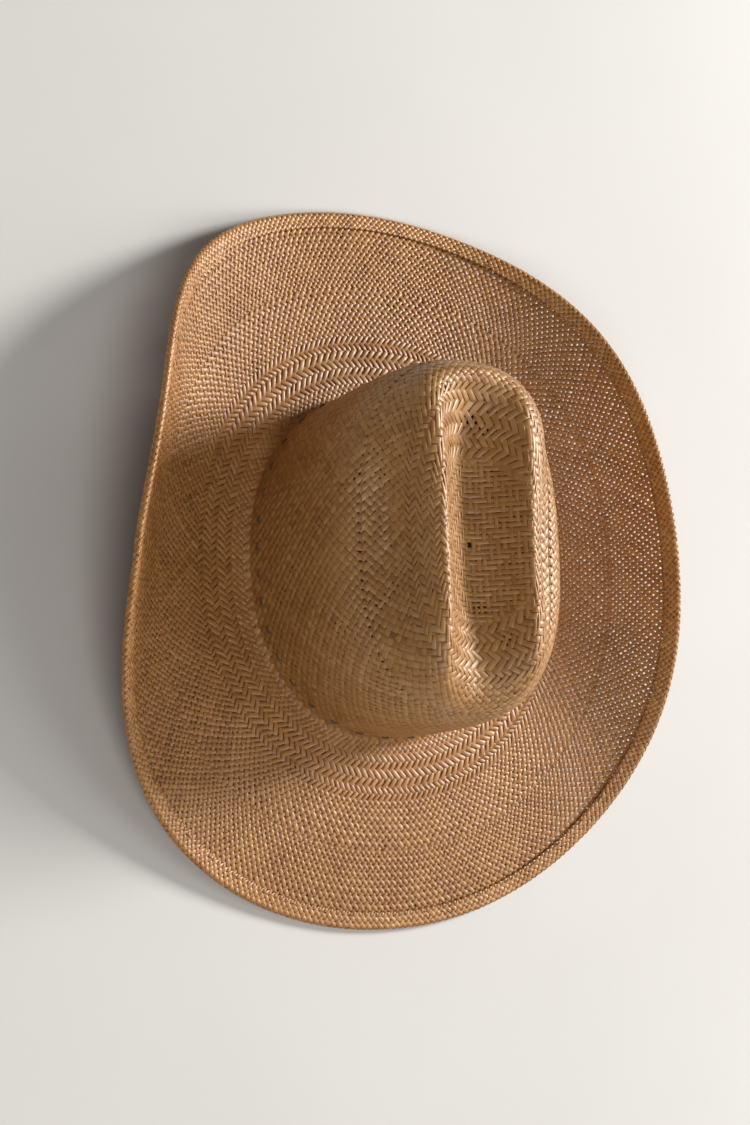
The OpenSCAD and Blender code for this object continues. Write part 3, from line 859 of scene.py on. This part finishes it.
def bow():
    """A small ribbon bow: two folded loops and a wrapped knot, sewn over the back seam."""
    seat = lining_point(180.0, BAND_START + 27, TAG_IN + 1.4) + REST
    u = np.linspace(-1, 1, 9)
    turn = np.linspace(0, 2 * np.pi, 41)
    parts = []
    for side in (-1, 1):
        y = side * (1 + 4.1 * (1 - np.cos(turn)))
        depth = 0.52 * np.sin(turn) * np.sin(turn / 2) ** 0.5
        wide = 0.95 + 1.7 * np.sin(turn / 2) ** 1.4
        fold = 0.1 * np.sin(u * 9)[None, :] * (1 - np.sin(turn / 2))[:, None]
        x = depth[:, None] + fold
        z = wide[:, None] * u[None, :] - 0.25 * np.abs(y[:, None]) / 9
        parts.append(np.stack([x, y[:, None] + 0 * x, z], -1) + seat)
    knot_a = np.arange(24) / 24 * 2 * np.pi
    z = np.linspace(-1.25, 1.25, 11)
    r = 0.5 + 0.08 * np.cos(z * 5)
    x, y = np.outer(r, np.cos(knot_a)) * 1.1, np.outer(r, np.sin(knot_a)) * 2.0
    parts.append(np.stack([x, y, z[:, None] + 0 * x], -1) + seat)
    first, points, quads, uvs = 0, [], [], []
    for n, strip in enumerate(parts):
        q, uv = swept(strip, closed=False, around=n == 2)
        points.append(strip.reshape(-1, 3))
        quads.append(q + first)
        uv = uv.copy()
        uv[..., 1] = (n + uv[..., 1]) / len(parts)
        uvs.append(uv)
        first += strip.shape[0] * strip.shape[1]
    made = mesh_object("ribbon_bow", np.concatenate(points), np.concatenate(quads), np.concatenate(uvs))
    thick = made.modifiers.new("ribbon thickness", "SOLIDIFY")
    thick.thickness = 0.16 * MM
    thick.offset = 0
    return made


def tag():
    """A blank woven tag, turned under at its short edges and bowed a little away from the leather."""
    t = np.linspace(180 - TAG_ANGLE, 180 + TAG_ANGLE, 61)
    h = np.linspace(TAG_LOW, TAG_HIGH, 31)
    bulge = 0.25 * np.cos((t - 180) / TAG_ANGLE * np.pi / 2)[:, None] * np.ones(31)[None, :]
    hem = 0.1 * ((np.abs(t - 180) > TAG_ANGLE - 1.2)[:, None] * np.ones(31)[None, :])
    frayed = 0.08 * np.sin(np.arange(61) * 2.1)[:, None] * (np.abs(np.linspace(-1, 1, 31)) > 0.97)[None, :]
    points = lining_point(t[:, None], h[None, :] + frayed, TAG_IN + 0.1 + bulge + hem) + REST
    quads, uv = swept(points, closed=False, around=False)
    made = mesh_object("size_label", points.reshape(-1, 3), quads, uv)
    thick = made.modifiers.new("cloth thickness", "SOLIDIFY")
    thick.thickness = 0.2 * MM
    thick.offset = 0
    return made


# ---- stage, light and camera ----

CAMERA_AZIMUTH, CAMERA_ELEVATION, CAMERA_ROLL = 284.338, 57.902, -2.405
CAMERA_DISTANCE, CAMERA_TARGET = 1.2517, (0.003017, 0.0, 0.05187)
CAMERA_LENS, CAMERA_SHIFT = 72.485, (-0.0387, -0.0038)


def camera():
    az, el, roll = (math.radians(a) for a in (CAMERA_AZIMUTH, CAMERA_ELEVATION, CAMERA_ROLL))
    back = Vector((math.cos(el) * math.cos(az), math.cos(el) * math.sin(az), math.sin(el)))
    right = Vector((-1, 0, 0)).cross(back).normalized()
    up = back.cross(right)
    turned_right = right * math.cos(roll) + up * math.sin(roll)
    turned_up = up * math.cos(roll) - right * math.sin(roll)
    data = bpy.data.cameras.new("camera")
    data.lens, data.sensor_width = CAMERA_LENS, 36
    data.shift_x, data.shift_y = CAMERA_SHIFT
    made = bpy.data.objects.new("camera", data)
    made.matrix_world = Matrix.Translation(Vector(CAMERA_TARGET) + back * CAMERA_DISTANCE) @ Matrix(
        (turned_right, turned_up, back)).transposed().to_4x4()
    bpy.context.scene.collection.objects.link(made)
    bpy.context.scene.camera = made


def floor():
    points = np.array([(x, y, 0) for x in (-15000, 15000) for y in (-15000, 15000)], float)
    made = mesh_object("floor", points, np.array([[0, 2, 3, 1]]))
    material, tree = node_tree("pale_floor")
    cloud = noise(tree, object_place(tree), 6.0, 5.0)
    colour = ramp(tree, cloud, [(0.35, (0.63, 0.625, 0.61)), (0.65, (0.65, 0.645, 0.63))])
    finish_material(tree, principled(tree, colour, 0.85))
    made.data.materials.append(material)


def area_light(name, place, target, size, watts, colour):
    data = bpy.data.lights.new(name, "AREA")
    data.shape = "DISK"
    data.size, data.energy, data.color = size, watts, colour
    made = bpy.data.objects.new(name, data)
    made.location = place
    made.rotation_mode = "QUATERNION"
    made.rotation_quaternion = (Vector(target) - Vector(place)).to_track_quat("-Z", "Y")
    bpy.context.scene.collection.objects.link(made)


def lights():
    area_light("window", (-0.7, 2.25, 1.28), (0, 0, 0.05), 0.8, 96, (1.0, 0.975, 0.945))
    area_light("window_glow", (1.1, 2.3, 1.9), (0, 0, 0.05), 2.0, 24, (1.0, 0.98, 0.95))
    area_light("fill", (1.35, -0.55, 2.1), (0, 0, 0.05), 1.4, 22, (1.0, 0.96, 0.93))
    world = bpy.data.worlds.new("studio")
    world.use_nodes = True
    world.node_tree.nodes["Background"].inputs["Color"].default_value = (1.0, 0.95, 0.89, 1)
    world.node_tree.nodes["Background"].inputs["Strength"].default_value = 0.2
    world.cycles_visibility.glossy = False
    bpy.context.scene.world = world


# ---- the hat ----

def straw_body():
    brim = straw_material("woven_straw", glow=0.25)
    # painted light: the crown gets a paler, yellower copy of the brim's straw, for the brim's shade and the
    # light through its open weave
    crown = straw_material("crown_straw_painted_paler", tint=(1.03, 1.12, 1.3))
    hem = straw_material("hem_straw", light=-0.01, glow=0.08)
    weave("brim", STRAW_GRID, BRIM, BRIM_STARTS, BRIM_ENDS, brim, "brim")
    cap_edge = cap_place(np.array([TOP_FRONT * CAP_SHARE]), np.array([0.0]))[1][0]
    weave("crown", STRAW_GRID, CROWN, 0.0, cap_edge + 1.5, crown, "crown")
    cap(crown, "crown")
    weave("hem", HEM_GRID, HEM, 0.0, HEM_LENGTH, hem, "brim_hem")


def trim():
    dark_thread = cloth_material("hem_thread", (0.16, 0.085, 0.035), (0.3, 0.17, 0.08), 900)
    black_thread = cloth_material("band_thread", (0.05, 0.024, 0.012), (0.12, 0.062, 0.03), 900)
    pale_thread = cloth_material("seam_thread", (0.55, 0.48, 0.36), (0.8, 0.74, 0.6), 900)
    finished(hem_stitch_threads(), dark_thread, "hem_stitches")
    finished(band_stitch_threads(), black_thread, "sweatband_stitches")
    finished(seam_threads(), pale_thread, "back_seam_stitches")
    band = lining_ring("leather_band", band_profile(), ripple=0.12, seam=0.45)
    finished(band, leather_material(), "sweatband")
    finished(reed_ring(), reed_material(), "sweatband_reed")
    tape = cloth_material("cotton_tape", (0.6, 0.54, 0.42), (0.82, 0.77, 0.66), 700)
    ring = finished(tape_ring(), tape, "reed_tape")
    wire = metal_material("hat_wire", (0.32, 0.33, 0.35), (0.62, 0.63, 0.65), 0.25)
    finished(wire_ring(), wire, "brim_wire")
    brass = metal_material("ferrule_brass", (0.55, 0.38, 0.14), (0.8, 0.6, 0.28), 0.2)
    finished(ferrule(), brass, "wire_ferrule")
    ribbon = cloth_material("bow_ribbon", (0.05, 0.024, 0.012), (0.14, 0.075, 0.04), 1200, rough=0.4)
    finished(bow(), ribbon, "sweatband_bow")
    cloth = cloth_material("tag_cloth", (0.66, 0.6, 0.5), (0.86, 0.82, 0.73), 1100)
    label = finished(tag(), cloth, "size_tag")


straw_body()
trim()
floor()
lights()
camera()
bpy.context.scene.view_settings.view_transform = "Standard"
